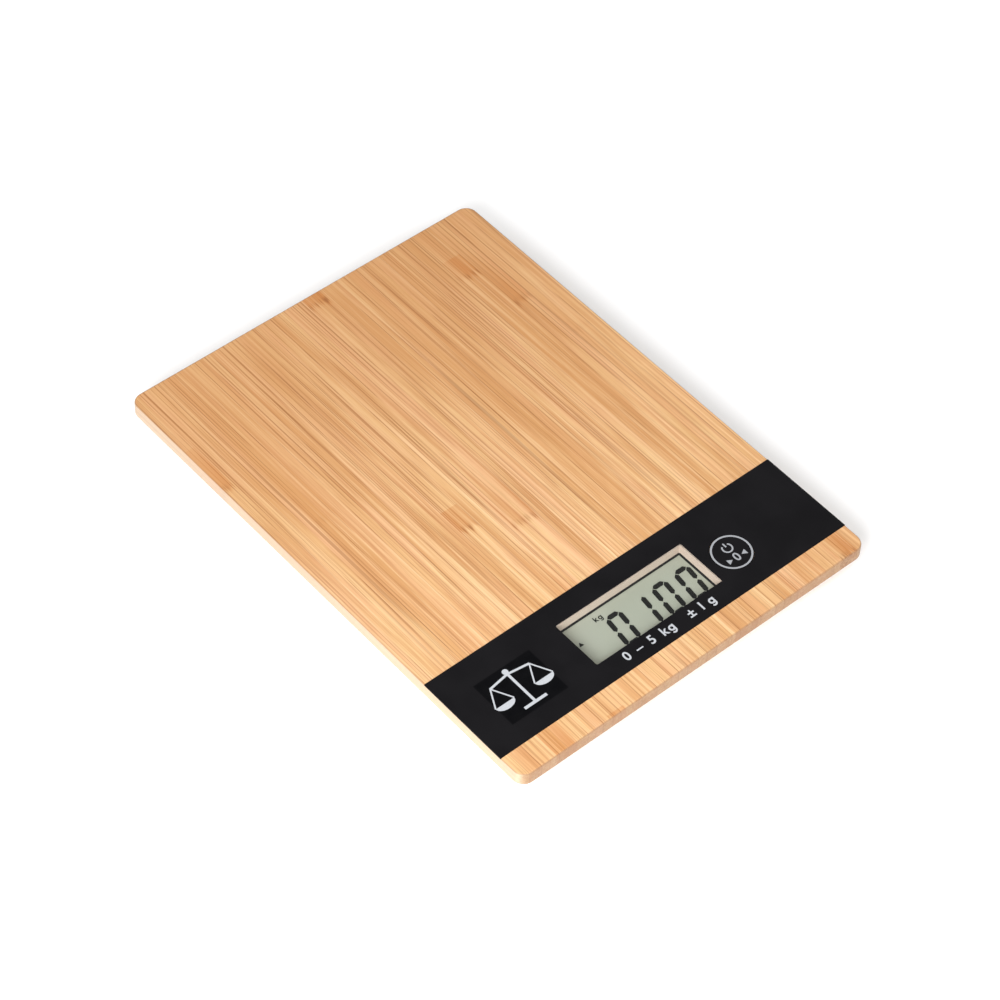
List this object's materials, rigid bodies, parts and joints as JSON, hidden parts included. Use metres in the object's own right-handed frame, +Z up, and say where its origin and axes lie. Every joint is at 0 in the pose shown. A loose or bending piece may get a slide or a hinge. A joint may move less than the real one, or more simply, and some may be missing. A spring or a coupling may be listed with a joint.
{
  "type": "kitchen scale",
  "caption": "Slim digital kitchen scale: bamboo weighing board with a black display strip and tare button, shallow housing and load-cell feet.",
  "frame": {"origin": "on the ground, under the middle of the board", "axes": "+Z up; the display strip faces -Y; +X to the right of a person facing the display; +Y along the long side, towards the back"},
  "size_m": [0.17, 0.23, 0.018],
  "materials": {
    "bamboo": "lacquered bamboo strips, satin",
    "black_strip": "printed black film, semi-matte",
    "clear_sheet": "clear acrylic sheet",
    "ivory_plastic": "moulded ivory plastic",
    "black_foam": "closed-cell foam",
    "display_glass": "reflective grey-green liquid crystal display",
    "grey_rubber": "striped conductive silicone",
    "green_laminate": "solder mask over glass-fibre laminate",
    "black_resin": "poured epoxy",
    "black_plastic": "moulded",
    "white_plastic": "moulded, fine spark texture",
    "steel": "brushed",
    "zinc_steel": "zinc plated",
    "pale_rubber": "soft matt rubber",
    "wire_red": "wire insulation",
    "wire_black": "wire insulation"
  },
  "bodies": {
    "scale_body": {"bamboo_board": "bamboo", "display_strip": "black_strip", "display_window": "clear_sheet", "display_bezel": "ivory_plastic", "sensor_bracket_front_left": "ivory_plastic", "sensor_bracket_front_right": "ivory_plastic", "sensor_bracket_rear_left": "ivory_plastic", "sensor_bracket_rear_right": "ivory_plastic", "display_gasket": "black_foam", "lcd_panel": "display_glass", "zebra_connector_front": "grey_rubber", "zebra_connector_rear": "grey_rubber", "main_circuit_board": "green_laminate", "controller_chip": "black_resin", "tare_switch": "black_plastic", "unit_switch": "black_plastic", "bottom_housing": "white_plastic", "coin_cell": "steel", "load_cell_front_left": "steel", "load_cell_front_right": "steel", "load_cell_rear_left": "steel", "load_cell_rear_right": "steel", "battery_contact_positive": "zinc_steel", "battery_contact_negative": "zinc_steel", "housing_screw_front_left": "zinc_steel", "housing_screw_front_right": "zinc_steel", "housing_screw_rear_left": "zinc_steel", "housing_screw_rear_right": "zinc_steel", "housing_screw_front_middle": "zinc_steel", "housing_screw_rear_middle": "zinc_steel", "board_screw_back_left": "zinc_steel", "board_screw_front_left": "zinc_steel", "board_screw_back_right": "zinc_steel", "load_cell_lead_front_left": "wire_red", "load_cell_lead_front_right": "wire_red", "load_cell_lead_rear_left": "wire_red", "load_cell_lead_rear_right": "wire_red", "battery_lead_positive": "wire_red", "battery_lead_negative": "wire_black"},
    "tare_button": {"tare_button": "black_strip", "tare_switch_plunger": "white_plastic"},
    "unit_button": {"unit_button": "white_plastic", "unit_switch_plunger": "white_plastic"},
    "battery_cover": {"battery_cover": "white_plastic"},
    "foot_front_left": {"foot_cap_front_left": "white_plastic", "foot_pad_front_left": "pale_rubber"},
    "foot_front_right": {"foot_cap_front_right": "white_plastic", "foot_pad_front_right": "pale_rubber"},
    "foot_rear_left": {"foot_cap_rear_left": "white_plastic", "foot_pad_rear_left": "pale_rubber"},
    "foot_rear_right": {"foot_cap_rear_right": "white_plastic", "foot_pad_rear_right": "pale_rubber"}
  },
  "joints": [
    {"name": "tare_button_press", "type": "slide", "parent": "scale_body", "child": "tare_button", "axis": [0, 0, -1], "range_m": [0, 0.0003], "stiffness_N_per_m": 600},
    {"name": "unit_button_press", "type": "slide", "parent": "scale_body", "child": "unit_button", "axis": [0, 0, 1], "range_m": [0, 0.00025], "stiffness_N_per_m": 600},
    {"name": "battery_cover_hinge", "type": "hinge", "parent": "scale_body", "child": "battery_cover", "pos_m": [0, 0.03635, 0.0035], "axis": [1, 0, 0], "range_deg": [0, 95]},
    {"name": "foot_front_left_press", "type": "slide", "parent": "scale_body", "child": "foot_front_left", "axis": [0, 0, 1], "range_m": [0, 0.0004], "stiffness_N_per_m": 200},
    {"name": "foot_front_right_press", "type": "slide", "parent": "scale_body", "child": "foot_front_right", "axis": [0, 0, 1], "range_m": [0, 0.0004], "stiffness_N_per_m": 200},
    {"name": "foot_rear_left_press", "type": "slide", "parent": "scale_body", "child": "foot_rear_left", "axis": [0, 0, 1], "range_m": [0, 0.0004], "stiffness_N_per_m": 200},
    {"name": "foot_rear_right_press", "type": "slide", "parent": "scale_body", "child": "foot_rear_right", "axis": [0, 0, 1], "range_m": [0, 0.0004], "stiffness_N_per_m": 200}
  ]
}
